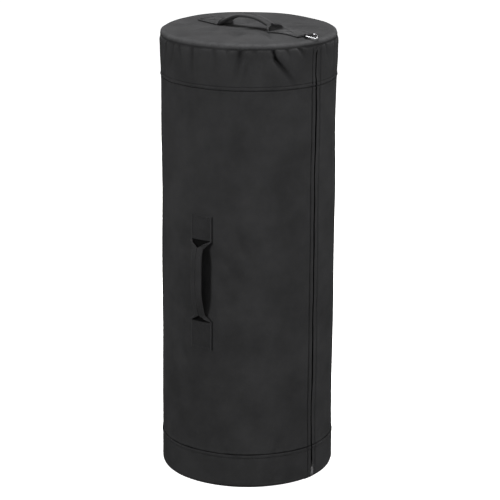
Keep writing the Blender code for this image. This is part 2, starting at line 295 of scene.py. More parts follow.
def make(name, verts, faces, material, uv=None, wear_and_shade=None, sharp=50.0):
    """A mesh object from arrays.

    uv is one pair for each vertex, in metres. The shade and wear values run from -1, dark with painted shade in
    seams, creases and hollows, to 1 on pale worn edges.
    """
    mesh = bpy.data.meshes.new(name)
    mesh.from_pydata([tuple(v) for v in verts], [], [tuple(f) for f in faces])
    mesh.update()
    corner = np.empty(len(mesh.loops), np.int32)
    mesh.loops.foreach_get("vertex_index", corner)
    if uv is None:
        uv = np.asarray(verts)[:, :2]
    layer = mesh.uv_layers.new(name="UVMap")
    layer.data.foreach_set("uv", np.asarray(uv, np.float32)[corner].ravel())
    shade = mesh.attributes.new("wear_and_shade", "FLOAT", "POINT")
    values = np.zeros(len(mesh.vertices), np.float32) if wear_and_shade is None else np.asarray(wear_and_shade, np.float32)
    shade.data.foreach_set("value", values)
    return dress(name, mesh, material, sharp)


def carry(piece, body, slot, *nodes):
    """Fixes a piece to one body."""
    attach(piece, body)
    if nodes:
        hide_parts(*nodes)


def settle(piece, region, slot, nodes=()):
    """Fixes a piece of the back region to the root body. A piece of any other region only has its placement
    baked into its mesh.
    """
    if region == "back":
        carry(piece, "root", slot, *nodes)
        return
    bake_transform(piece)
    if nodes:
        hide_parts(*nodes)


def region_of(azimuth, z):
    """The name of the wall region at each azimuth (radians from -Y) and height."""
    turn = (np.asarray(azimuth) + math.pi) % (2 * math.pi) - math.pi
    side = np.where(turn > 0, "right", "left")
    half = np.where(np.asarray(z) > SLIT_MIDDLE, "upper", "lower")
    named = np.char.add(np.char.add(side, "_"), half)
    return np.where(np.abs(turn) >= FOLD_ANGLE, "back", named)


def grid_faces(rows, columns, flip=False):
    i, j = np.meshgrid(np.arange(rows - 1), np.arange(columns - 1), indexing="ij")
    a = (i * columns + j).ravel()
    quads = np.stack([a, a + 1, a + columns + 1, a + columns], 1)
    return quads[:, ::-1] if flip else quads


def shell(name, points, normals, thickness, uv, material, wear_and_shade, under_wear_and_shade=None):
    """A closed sheet of cloth: a grid of points with its underside and its edges."""
    rows, columns = points.shape[:2]
    under = points - normals * thickness
    verts = np.concatenate([points.reshape(-1, 3), under.reshape(-1, 3)])
    count = rows * columns
    top = grid_faces(rows, columns)
    bottom = grid_faces(rows, columns, flip=True) + count
    index = np.arange(count).reshape(rows, columns)
    border = np.concatenate([index[0, :-1], index[:-1, -1], index[-1, :0:-1], index[:0:-1, 0]])
    after = np.roll(border, -1)
    rim = np.stack([after, border, border + count, after + count], 1)
    faces = np.concatenate([top, bottom, rim])
    flat = uv.reshape(-1, 2)
    worn_and_shaded = wear_and_shade.ravel()
    # the underside carries a third of the top's wear and painted shade, unless it is given its own values
    hidden = worn_and_shaded * 0.3 if under_wear_and_shade is None else under_wear_and_shade.ravel()
    return make(name, verts, faces, material, np.concatenate([flat, flat]), np.concatenate([worn_and_shaded, hidden]))


def ring_faces(rings, sides, closed=False):
    """Faces of a tube made of rings of vertices, with caps unless it is closed on itself."""
    faces = []
    last = rings if closed else rings - 1
    for i in range(last):
        here, there = i * sides, ((i + 1) % rings) * sides
        for k in range(sides):
            n = (k + 1) % sides
            faces.append((here + k, here + n, there + n, there + k))
    if not closed:
        faces.append(tuple(range(sides))[::-1])
        faces.append(tuple(range((rings - 1) * sides, rings * sides)))
    return faces
def copies(faces, size, count):
    """The faces of one small solid, repeated for count copies of its size vertices."""
    return [tuple(k + i * size for k in face) for i in range(count) for face in faces]


# ---------------------------------------------------------------- the wall's shape

# Folds of the top band, from the rim seam down: azimuth and height of both ends in degrees and
# metres, then width, depth and ridge
FRONT_FOLDS = (
    (-53.7, 1.029, -57.4, 0.952, 0.0088, 0.0064, 0.45),
    (-33.8, 1.029, -30.6, 0.985, 0.0058, 0.0085, 0.50),
    (-31.6, 1.003, -17.6, 0.944, 0.0072, 0.0076, 0.45),
    (-15.9, 1.028, -10.2, 1.000, 0.0050, 0.0046, 0.45),
    (-24.5, 1.028, -22.0, 1.004, 0.0048, 0.0026, 0.4),
    (-86.6, 1.028, -86.9, 0.945, 0.0058, 0.0034, 0.4),
    (-50.2, 0.988, -52.6, 0.940, 0.0060, 0.0028, 0.4),
    (-36.8, 1.028, -38.4, 0.950, 0.0085, 0.0026, 0.3),
    (-45.5, 1.029, -42.0, 0.990, 0.0070, 0.0022, 0.3),
    (-71.0, 1.028, -70.0, 0.975, 0.0070, 0.0022, 0.4),
    (-62.5, 1.028, -61.0, 0.995, 0.0055, 0.0020, 0.4),
    (-99.0, 1.028, -97.0, 0.970, 0.0065, 0.0028, 0.4),
    (9.0, 1.029, 12.0, 0.985, 0.0058, 0.0030, 0.5),
    (24.0, 1.029, 21.0, 0.960, 0.0062, 0.0028, 0.4),
)
# Long soft folds of the body
BODY_FOLDS = (
    (-58.0, 0.640, -44.0, 0.520, 0.0130, 0.0016, 0.5),
    (-66.0, 0.560, -46.0, 0.470, 0.0120, 0.0013, 0.5),
    (-60.0, 0.900, -50.0, 0.760, 0.0160, 0.0011, 0.5),
    (-34.0, 0.780, -22.0, 0.640, 0.0150, 0.0010, 0.5),
    (-95.0, 0.320, -78.0, 0.240, 0.0140, 0.0012, 0.5),
    (-72.0, 0.480, -71.0, 0.330, 0.0110, 0.0011, 0.5),
    (-20.0, 0.420, -34.0, 0.300, 0.0150, 0.0010, 0.5),
    (-30.0, 0.083, -26.0, 0.140, 0.0090, 0.0010, 0.4),
    (-62.0, 0.083, -66.0, 0.130, 0.0090, 0.0010, 0.4),
)


def fold_field(s, z, fold):
    """Outward shift of one fold: a groove that fades along its line, with a soft ridge beside it."""
    start_turn, start_z, end_turn, end_z, width, depth, ridge = fold
    start, end = math.radians(start_turn) * RADIUS, math.radians(end_turn) * RADIUS
    run, rise = end - start, end_z - start_z
    length = math.hypot(run, rise)
    away = (s - start + ROUND / 2) % ROUND - ROUND / 2
    along = (away * run + (z - start_z) * rise) / length**2
    across = (away * rise - (z - start_z) * run) / length
    spread = width * (0.75 + 0.6 * np.clip(along, 0, 1.3))
    fade = np.clip(1.15 - along, 0, 1) ** 1.2 * np.clip(1 + along * length / 0.012, 0, 1)
    if length > 0.11:
        fade = np.clip(np.sin(np.clip(along, 0, 1) * math.pi), 0, 1)
    hump = bell(across - 1.9 * spread, 1.5 * spread) + 0.7 * bell(across + 1.9 * spread, 1.6 * spread)
    return fade * depth * (ridge * hump - bell(across, spread))


def scattered_folds():
    """Puckers round the part of the bag that FRONT_FOLDS leaves free."""
    rng = np.random.default_rng(7)
    folds = []
    for turn in np.arange(36, 262, 9.5):
        start = turn + rng.uniform(-3, 3)
        drop = rng.uniform(0.030, 0.072)
        lean = rng.uniform(-7, 7)
        depth = rng.uniform(0.0010, 0.0036)
        width = rng.uniform(0.0035, 0.0065)
        folds.append((start, RIM_SEAM, start + lean, RIM_SEAM - drop, width, depth, 0.5))
    for turn in np.arange(60, 250, 24.0):
        start = turn + rng.uniform(-8, 8)
        height = rng.uniform(0.25, 0.85)
        lean = rng.uniform(-16, 16)
        folds.append((start, height, start + lean, height - rng.uniform(0.12, 0.2), 0.014, 0.0011, 0.5))
    for turn in np.arange(0, 360, 17.0):
        start = turn + rng.uniform(-5, 5)
        folds.append((start, UPPER_SEAM, start + rng.uniform(-4, 4), UPPER_SEAM - 0.035, 0.006, 0.0007, 0.5))
        start = turn + rng.uniform(-5, 5)
        folds.append((start, LOWER_SEAM, start + rng.uniform(-4, 4), LOWER_SEAM + 0.03, 0.006, 0.0006, 0.5))
    return folds


FOLDS = (*FRONT_FOLDS, *BODY_FOLDS, *scattered_folds())


def wall_out(s, z):
    """How far the canvas stands out from the plain cylinder at arc length s and height z."""
    s, z = np.broadcast_arrays(s, z)
    out = np.zeros(s.shape)
    for fold in FOLDS:
        out += fold_field(s, z, fold)
    turn = s / RADIUS
    # broad unevenness of a soft cylinder
    rng = np.random.default_rng(3)
    for _ in range(14):
        lobes, wave = rng.integers(2, 10), rng.uniform(4, 16)
        phase, lean = rng.uniform(0, 6.28, 2)
        out += 0.00028 * np.sin(lobes * turn + wave * z + phase) * np.cos(wave * 0.7 * z + lean)
    # bands lie over the body's edges; the seams are thick, with a dip beside them
    for seam, up in ((LOWER_SEAM, -1), (UPPER_SEAM, 1)):
        wobble = 0.0004 * np.sin(9 * turn + 40 * seam) + 0.0003 * np.sin(23 * turn)
        above = (z - seam) * up + wobble
        out += 0.0006 * step(above, -0.0004, 0.0010)
        out += 0.0008 * bell(above - 0.0046, 0.0032)
        out += 0.0005 * bell(above + 0.0040, 0.0030)
        out -= 0.0021 * bell(above, 0.0010)
        out -= 0.0009 * bell(above - BAND_GROOVE, 0.0008)
        out += 0.00018 * np.sin(61 * turn + 9 * np.sin(3 * turn)) * bell(above, 0.014)
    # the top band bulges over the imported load, and the zipper keeps it flat where the pull hangs
    away = np.abs((s + ROUND / 2) % ROUND - ROUND / 2)
    loose = 1 - bell(away, 0.024)
    out += 0.0016 * loose * step(z, UPPER_SEAM, UPPER_SEAM + 0.05) * (1 - step(z, RIM_SEAM - 0.02, RIM_SEAM))
    # gathers and the pinch under the rim seam
    out += 0.00045 * bell(RIM_SEAM - z, 0.020) * np.sin(38 * turn + 5 * np.sin(4 * turn))
    out += 0.0010 * loose * bell(RIM_SEAM - 0.010 - z, 0.008)
    out -= 0.0032 * step(z, RIM_SEAM - 0.0065, RIM_SEAM)
    # the hem along the zipper: a raised lip and the groove of its topstitching
    lip = step(z, 0.018, 0.04) * (1 - step(z, RIM_SEAM - 0.012, RIM_SEAM - 0.002))
    out += lip * 0.0007 * bell(away - 0.0060, 0.0050)
    out -= lip * 0.0018 * bell(away - HEM_GROOVE, 0.0011)
    out += lip * 0.0005 * bell(away - 0.0185, 0.0040)
    # the zipper stays flat where the pull hangs with the slider at the top
    hold = np.exp(-((away / 0.010) ** 4)) * step(z, 0.945, 0.958) * (1 - step(z, 1.004, 1.012))
    return out * (1 - hold)


def slit_line(z):
    """Sideways drift and half width of the slit at a height."""
    drift = 0.0006 * np.sin(z * 31.0) + 0.0004 * np.sin(z * 57.0 + 1.0)
    open_share = step(z, SLIT_BOTTOM - 0.006, SLIT_BOTTOM + 0.004)
    open_share = open_share * (1 - step(z, SLIT_TOP - 0.004, SLIT_TOP + 0.004))
    half = 0.00015 + (SLIT_HALF + 0.0003 * np.sin(z * 23.0 + 0.6)) * open_share
    return drift * open_share, half


def wall_rows():
    """(height, inset) of each row of the wall, from under the base to the rim seam."""
    turns = np.linspace(0, math.pi / 2, 9)
    rows = [(FOOT_ROUND * (1 - math.sin(t)), FOOT_ROUND * (1 - math.cos(t))) for t in turns[::-1]]
    plan = ((0.070, 0.0055), (0.0775, 0.0015), (0.0875, 0.0005), (0.095, 0.0015), (0.13, 0.004), (0.90, 0.0085))
    plan += ((0.926, 0.004), (0.9315, 0.0015), (0.9455, 0.0005), (0.951, 0.0012), (1.018, 0.0022))
    z = FOOT_ROUND
    for top, pitch in (*plan, (RIM_SEAM, 0.0010)):
        count = max(1, round((top - z) / pitch))
        rows += [(z + (top - z) * (k + 1) / count, 0.0) for k in range(count)]
        z = top
    marks = (LOWER_SEAM, SLIT_MIDDLE, UPPER_SEAM)
    rows = np.array(rows)
    for mark in marks:
        rows[np.argmin(np.abs(rows[:, 0] - mark)), 0] = mark
    return rows


FINE_REACH = 0.024


def wall_columns():
    """(distance from the slit, depth, side) of each column, from one hem round the back to the other."""
    hem = [(d, 2 * LIP_RADIUS) for d in np.linspace(HEM, LIP_RADIUS, 6)]
    turns = np.linspace(-math.pi / 2, math.pi / 2, 7)[1:-1]
    nose = [(LIP_RADIUS - LIP_RADIUS * math.cos(t), LIP_RADIUS - LIP_RADIUS * math.sin(t)) for t in turns]
    near = [(d, 0.0) for d in np.linspace(LIP_RADIUS, FINE_REACH, 19)]
    half = [*hem, *nose, *near]
    span = ROUND / 2 - FINE_REACH
    count = round(span / 0.0024)
    half += [(FINE_REACH + span * (k + 1) / count, 0.0) for k in range(count)]
    right = [(d, depth, 1) for d, depth in half]
    left = [(d, depth, -1) for d, depth in half[-2::-1]]
    return np.array(right + left)


def wall_point(s, z, out=0.0, inset=0.0):
    """Points of the wall's outer face, moved out by some distance."""
    radius = RADIUS + wall_out(s, z) * np.where(np.asarray(z) < FOOT_ROUND, 0.3, 1.0) - inset + out
    return polar(radius, np.asarray(s) / RADIUS, z)


def wall_grid():
    """Points, UVs and wear of the whole wall, with its rows and columns."""
    rows, columns = wall_rows(), wall_columns()
    z = rows[:, 0][:, None]
    away, depth, side = columns.T
    drift, half = slit_line(z)
    s = side * (away + half * np.exp(-away / 0.010)) + drift * np.exp(-away / 0.02)
    s = np.where(side < 0, s + ROUND, s)
    thin = np.clip(half / 0.001, 0.35, 1.0)
    points = wall_point(s, z, -depth * thin, rows[:, 1][:, None])
    # pale wear at the foot and the lips; painted shade in the seams, with some dirt; painted shade in the hem's
    # groove and the creases
    wear_and_shade = 0.4 * bell(z, 0.012) + 0.5 * bell(away, 0.0022)
    for line, dark, wide in (
        (LOWER_SEAM + 0.0002, 0.95, 0.0012),
        (LOWER_SEAM - BAND_GROOVE, 0.25, 0.0009),
        (UPPER_SEAM, 0.60, 0.0010),
        (UPPER_SEAM + BAND_GROOVE, 0.45, 0.0009),
        (RIM_SEAM, 0.55, 0.0024),
    ):
        wear_and_shade = wear_and_shade - dark * bell(z - line, wide)
    # painted shade in the hem's groove, stronger on the left side
    wear_and_shade = wear_and_shade - np.where(side < 0, 0.6, 0.2) * bell(away - HEM_GROOVE, 0.0012)
    creases = sum(fold_field(s, z, fold) for fold in FOLDS)
    # painted shade in the creases, deeper folds darker
    wear_and_shade = np.clip(wear_and_shade - 0.5 * np.clip(-creases / 0.0050, 0, 1), -1, 1)
    return rows[:, 0], away, points, grid(s, z), wear_and_shade


def build_wall():
    z, away, points, uv, wear_and_shade = wall_grid()
    normals = grid_normals(points)
    marks = (z[0], LOWER_SEAM, SLIT_MIDDLE, UPPER_SEAM, z[-1])
    cuts = [int(np.argmin(np.abs(z - mark))) for mark in marks]
    beyond = away > (FOLD_ANGLE + math.radians(2)) * RADIUS
    first, last = int(np.argmax(beyond)), len(beyond) - 1 - int(np.argmax(beyond[::-1]))
    spans = (("right", slice(0, first + 1)), ("back", slice(first, last + 1)), ("left", slice(last, None)))
    stands_for = {
        "bottom_band_back": ("bottom_band",),
        "top_band_back": ("top_band",),
        "wall_upper_back": ("back_panel",),
        "wall_upper_left": ("left_front_panel",),
        "wall_upper_right": ("right_front_panel",),
    }
    for index, band in enumerate(("bottom_band", "wall_lower", "wall_upper", "top_band")):
        half = "lower" if index < 2 else "upper"
        for side, span in spans:
            part = slice(cuts[index], cuts[index + 1] + 1), span
            name = f"{band}_{side}"
            piece = shell(f"{name}_canvas", points[part], normals[part], CANVAS, uv[part], CLOTH, wear_and_shade[part])
            settle(piece, "back" if side == "back" else f"{side}_{half}", "canvas", stands_for.get(name, ()))


# ---------------------------------------------------------------- lid and base

# Folds of the lid: both ends, then width and depth
LID_FOLDS = (
    (0.050, -0.060, 0.120, -0.120, 0.010, 0.0020),
    (-0.030, -0.010, -0.125, -0.060, 0.014, 0.0026),
    (-0.032, 0.040, -0.140, 0.050, 0.016, 0.0024),
    (-0.020, -0.050, -0.090, -0.150, 0.012, 0.0022),
    (0.028, 0.030, 0.120, 0.090, 0.014, 0.0022),
    (0.015, -0.020, 0.150, -0.020, 0.018, 0.0020),
    (-0.045, 0.110, -0.100, 0.150, 0.010, 0.0018),
    (0.010, 0.060, 0.060, 0.160, 0.012, 0.0018),
    (-0.012, -0.030, -0.060, 0.030, 0.009, 0.0016),
    (0.012, 0.010, 0.050, -0.060, 0.009, 0.0014),
)
LID_FOLD_GAIN = 2.3
LID_FLAT = 0.186
LID_CROWN = 0.090
LID_DROP = 0.0058
LID_SINK = 0.0036


def lid_height(x, y):
    """Height of the lid's top face: a slightly sunken, uneven middle that slopes away to the rim."""
    x, y = np.broadcast_arrays(np.asarray(x, float), np.asarray(y, float))
    r = np.hypot(x, y)
    turn = np.arctan2(x, -y)
    low_side = 0.52 + 0.48 * np.cos(turn - LID_LOW_TURN)
    slope = LID_DROP * low_side * np.maximum(0, (r - LID_CROWN) / (LID_FLAT - LID_CROWN)) ** 2
    sink = LID_SINK * (1 - step(r, 0.050, 0.150 + 0.016 * np.sin(3 * turn + 1)))
    height = HEIGHT - 0.0006 - slope - sink
    for x0, y0, x1, y1, width, depth in LID_FOLDS:
        run, rise = x1 - x0, y1 - y0
        length = math.hypot(run, rise)
        along = ((x - x0) * run + (y - y0) * rise) / length**2
        across = ((x - x0) * rise - (y - y0) * run) / length
        fade = np.sin(np.clip(along, 0, 1) * math.pi) ** 0.8
        groove = 0.6 * bell(across - width, width) - bell(across, width)
        height = height + LID_FOLD_GAIN * depth * fade * groove
    rng = np.random.default_rng(11)
    for _ in range(16):
        kx, ky = rng.uniform(-45, 45, 2)
        height = height + 0.00030 * np.sin(kx * x + ky * y + rng.uniform(0, 6.28))
    # the lid is held up a little along the strap's sewn ends
    held = bell(x, 0.034) * (step(-y, 0.085, 0.125) + step(y, 0.055, 0.090))
    height = height + 0.0014 * held * (1 - step(r, 0.120, 0.182))
    return np.minimum(height, HEIGHT - 0.0004 - slope * 0.8)


def lid_grid():
    """Polar rows from the rim seam over the rolled edge to the middle."""
    turns = np.linspace(0, 2 * math.pi, 481)
    wave = 0.0009 * np.sin(7 * turns + 1) + 0.0007 * np.sin(13 * turns + 2) + 0.0005 * np.sin(29 * turns)
    rows = []
    for r in (0.0, *np.linspace(0.004, LID_FLAT, 62)):
        rows.append(polar(r, turns, lid_height(r * np.sin(turns), -r * np.cos(turns))))
    puff = HEIGHT - RIM_SEAM - 0.001
    roll = np.linspace(0, 1.22 * math.pi / 2, 14)[1:]
    edge = [(LID_FLAT + puff * math.sin(t), puff * math.cos(t)) for t in roll]
    top = rows[-1][:, 2]
    for r, drop in (*edge, (RADIUS - 0.0030, -0.0012)):
        swell = wave * np.clip((r - LID_FLAT) / puff, 0, 1)
        rows.append(polar(r + swell, turns, RIM_SEAM + 0.0005 + drop * (top - RIM_SEAM) / puff))
    return np.array(rows[::-1])


def build_lid():
    points = lid_grid()
    normals = grid_normals(points)
    normals[-1] = (0, 0, 1)
    radius = np.hypot(points[..., 0], points[..., 1])
    # a pale worn band on the rolled rim, partly a painted highlight, and painted shade low on the roll above the
    # rim seam
    wear_and_shade = 0.65 * bell(radius - 0.1980, 0.005) - 0.6 * step(HEIGHT - points[..., 2], 0.0145, 0.0170)
    lid = shell("lid_canvas", points, normals, CANVAS, points[..., :2], CLOTH, wear_and_shade)
    bm = bmesh.new()
    bm.from_mesh(lid.data)
    bmesh.ops.remove_doubles(bm, verts=bm.verts, dist=0.00002)
    inner = [f for f in bm.faces if f.calc_area() < 1e-12]
    bmesh.ops.delete(bm, geom=inner, context="FACES")
    bm.to_mesh(lid.data)
    bm.free()
    settle(lid, "back", "canvas", ("lid_panel",))

    turns = np.linspace(0, 2 * math.pi, 193)
    rings = np.linspace(0.0, RADIUS - FOOT_ROUND + 0.002, 40)[:, None]
    rise = 0.0006 + 0.0005 * np.sin(170 * rings + 3 * turns) * step(rings, 0.02, 0.06)
    under = polar(rings, turns, rise)
    normals = np.broadcast_to(np.array([0.0, 0.0, -1.0]), under.shape)
    base = shell("base_canvas", under, normals, CANVAS * 1.5, under[..., :2], CLOTH, np.zeros(under.shape[:2]))
    settle(base, "back", "canvas", ("base_panel",))


# ---------------------------------------------------------------- stitching

# One stitch along its length: where its rings lie, how high they stand and how thick they are
STITCH_RINGS = np.array([-0.5, -0.38, 0.0, 0.38, 0.5])
STITCH_RISE = np.array([-0.9, 0.2, 0.75, 0.2, -0.9])
STITCH_THICKNESS = np.array([0.45, 0.95, 1.0, 0.95, 0.45])
STITCH_SIDES = 5


def stitch_verts(path, normals, pitch=0.0038, length=0.0030, radius=THREAD):
    """One small bent tube for each stitch along a path. Returns the tubes' vertices and middles."""
    reach = np.concatenate([[0.0], np.cumsum(np.linalg.norm(np.diff(path, axis=0), axis=1))])
    count = max(1, int(reach[-1] / pitch))
    middle = (np.arange(count) + 0.5) * reach[-1] / count
    at = np.clip(middle[:, None] + STITCH_RINGS * length, 0, reach[-1])

    def sample(values, where):
        return np.stack([np.interp(where, reach, values[:, k]) for k in range(3)], -1)

    centre = sample(path, at)
    up = unit(sample(normals, at))
    along = unit(centre[:, -1:] - centre[:, :1])
    side = np.cross(np.broadcast_to(along, up.shape), up)
    centre = centre + up * (STITCH_RISE * radius)[:, None]
    tubes = spokes(centre, side, up, STITCH_THICKNESS * radius, STITCH_SIDES)
    return tubes.reshape(count, -1, 3), sample(path, middle)


def stitch_object(name, tubes):
    faces = ring_faces(len(STITCH_RINGS), STITCH_SIDES)
    return make(name, tubes.reshape(-1, 3), copies(faces, tubes.shape[1], len(tubes)), STITCH)


def wall_stitches(name, s, z):
    """Stitches along a line of the wall, as one piece for each region."""
    tubes, middles = stitch_verts(wall_point(s, z, 0.0003), polar(1.0, s / RADIUS, 0.0))
    regions = region_of(np.arctan2(middles[:, 0], -middles[:, 1]), middles[:, 2])
    for region in sorted(set(regions)):
        settle(stitch_object(f"{name}_{region}", tubes[regions == region]), region, "canvas")


def build_wall_stitches():
    around = np.linspace(0.006, ROUND - 0.006, 1400)
    for seam, up, label in ((LOWER_SEAM, -1, "lower"), (UPPER_SEAM, 1, "upper")):
        for row, away in (("a", 0.0026), ("b", BAND_GROOVE)):
            wall_stitches(f"{label}_seam_stitches_{row}", around, np.full_like(around, seam + up * away))
    heights = np.linspace(0.016, RIM_SEAM - 0.004, 1200)
    for side, turn in SIDES:
        for row, away in (("a", 0.0120), ("b", HEM_GROOVE)):
            drift = slit_line(heights)[0] * math.exp(-away / 0.02)
            wall_stitches(f"zipper_topstitch_{side}_{row}", turn * away + drift, heights)
    # bar tacks close both ends of the slit
    tubes = []
    s = np.linspace(-0.0050, 0.0050, 12)
    for low, high in ((SLIT_TOP + 0.0010, SLIT_TOP + 0.0065), (SLIT_BOTTOM - 0.0065, SLIT_BOTTOM - 0.0010)):
        for z in np.linspace(low, high, 12):
            path = wall_point(s, np.full_like(s, z), 0.0006)
            bar = stitch_verts(path, polar(1.0, s / RADIUS, 0.0), pitch=0.0102, length=0.0098, radius=0.00032)
            tubes.append(bar[0])
    carry(stitch_object("slit_bar_tacks", np.concatenate(tubes)), "root", "canvas")


# ---------------------------------------------------------------- zipper

TOOTH_PITCH = 0.0034
# Tooth sections from the root to the head: distance from the middle, half height and half depth
TOOTH_SECTIONS = (
    (0.0036, 0.00072, 0.00120),
    (0.0022, 0.00070, 0.00150),
    (0.0008, 0.00052, 0.00150),
    (-0.0004, 0.00060, 0.00150),
    (-0.0013, 0.00074, 0.00140),
    (-0.0017, 0.00046, 0.00100),
)
TOOTH_CORNERS = ((1, 0.55), (0.55, 1), (-0.55, 1), (-1, 0.55), (-1, -0.55), (-0.55, -1), (0.55, -1), (1, -0.55))


def build_tapes():
    """The woven tape behind each lip, as two pieces for each side."""
    away = np.array([0.0026, 0.0032, 0.0055, 0.0080, 0.0100, 0.0120, 0.0140, 0.0180, 0.0205])
    depth = np.array([0.0062, 0.0059, 0.0059, 0.0058, 0.0052, 0.0046, 0.0043, 0.0040, 0.0039])
    for side, turn in SIDES:
        for half, ends in (("lower", (TAPE_LOW.z, SLIT_MIDDLE)), ("upper", (SLIT_MIDDLE, TAPE_HIGH.z))):
            z = np.linspace(*ends, 90)[:, None]
            s, below = turn * away[::turn], depth[::turn]
            points = polar(RADIUS - below, s / RADIUS, z)
            name, plain = f"zipper_tape_{side}_{half}", np.zeros(points.shape[:2])
            piece = shell(name, points, grid_normals(points), 0.0007, grid(s, z), TAPE, plain)
            settle(piece, f"{side}_{half}", "zipper_tape", (f"{side}_zipper_tape",) if half == "lower" else ())


def build_teeth():
    """Two rows of moulded teeth, and the cord they sit on. A tooth is a waisted block with a rounded head."""
    middle = (TEETH_LOW.y + TEETH_HIGH.y) / 2
    rows = TOOTH_PITCH * np.arange(int((TEETH_HIGH.z - TEETH_LOW.z) / TOOTH_PITCH))
    faces = ring_faces(len(TOOTH_SECTIONS), len(TOOTH_CORNERS))
    for side, turn in SIDES:
        z = TEETH_LOW.z + 0.001 + (0.0 if turn < 0 else TOOTH_PITCH / 2) + rows
        tooth = np.array([(x * turn, d * a, t * b) for x, t, d in TOOTH_SECTIONS for a, b in TOOTH_CORNERS])
        order = faces if turn > 0 else [f[::-1] for f in faces]
        for half in ("lower", "upper"):
            mine = z[(z > SLIT_MIDDLE) == (half == "upper")]
            verts = (tooth + grid(0.0, middle, mine)[:, None]).reshape(-1, 3)
            every = copies(order, len(tooth), len(mine))
            piece = make(f"zipper_teeth_{side}_{half}", verts, every, TEETH, sharp=40)
            nodes = (f"{side}_zipper_teeth",) if half == "lower" else ()
            settle(piece, f"{side}_{half}", "zipper_teeth", nodes)
            bead = grid(turn * 0.0030, middle, np.linspace(mine[0], mine[-1], 60))
            cord = tube_rings(bead, np.broadcast_to([0.0, -1.0, 0.0], bead.shape), 0.0011, 8)
            edge = make(f"zipper_cord_{side}_{half}", cord.reshape(-1, 3), ring_faces(60, 8), TAPE)
            settle(edge, f"{side}_{half}", "zipper_tape")


def outline_solid(name, loops, thickness, bevel, material):
    """A bevelled plate in its own XY plane, from an outer loop and any holes."""
    curve = bpy.data.curves.new(name, "CURVE")
    curve.dimensions = "2D"
    curve.fill_mode = "BOTH"
    curve.extrude = thickness / 2 - bevel
    curve.bevel_depth = bevel
    curve.bevel_resolution = 2
    curve.offset = -bevel
    for loop in loops:
        spline = curve.splines.new("POLY")
        spline.points.add(len(loop) - 1)
        for point, (x, y) in zip(spline.points, loop):
            point.co = (x, y, 0, 1)
        spline.use_cyclic_u = True
    return from_curve(name, curve, material)


def from_curve(name, curve, material):
    """A mesh object with the curve's shape."""
    holder = link(name + "_curve", curve)
    bpy.context.view_layer.update()
    mesh = bpy.data.meshes.new_from_object(holder.evaluated_get(bpy.context.evaluated_depsgraph_get()))
    bpy.data.objects.remove(holder, do_unlink=True)
    mesh.name = name
    made = dress(name, mesh, material, 40.0)
    bm = bmesh.new()
    bm.from_mesh(mesh)
    bmesh.ops.remove_doubles(bm, verts=bm.verts, dist=0.000005)
    bmesh.ops.recalc_face_normals(bm, faces=bm.faces)
    bm.to_mesh(mesh)
    bm.free()
    return made


def rounded(points, radius, steps=5):
    """A closed outline with its corners rounded."""
    made = []
    count = len(points)
    for i, here in enumerate(points):
        corner = Vector(here)
        before, after = Vector(points[i - 1]), Vector(points[(i + 1) % count])
        one, two = (before - corner), (after - corner)
        cut = min(radius, one.length * 0.45, two.length * 0.45)
        a, b = corner + one.normalized() * cut, corner + two.normalized() * cut
        for k in range(steps + 1):
            t = k / steps
            made.append(tuple(a * (1 - t) ** 2 + corner * 2 * t * (1 - t) + b * t * t))
    return made


def rounded_block(name, low, high, bevel, material):
    bm = bmesh.new()
    bmesh.ops.create_cube(bm, size=1.0)
    bmesh.ops.scale(bm, verts=bm.verts, vec=[h - l for l, h in zip(low, high)])
    bmesh.ops.translate(bm, verts=bm.verts, vec=[(l + h) / 2 for l, h in zip(low, high)])
    bmesh.ops.bevel(bm, geom=bm.edges, offset=bevel, segments=3, profile=0.5, affect="EDGES")
    return from_bmesh(name, bm, material, 50.0)


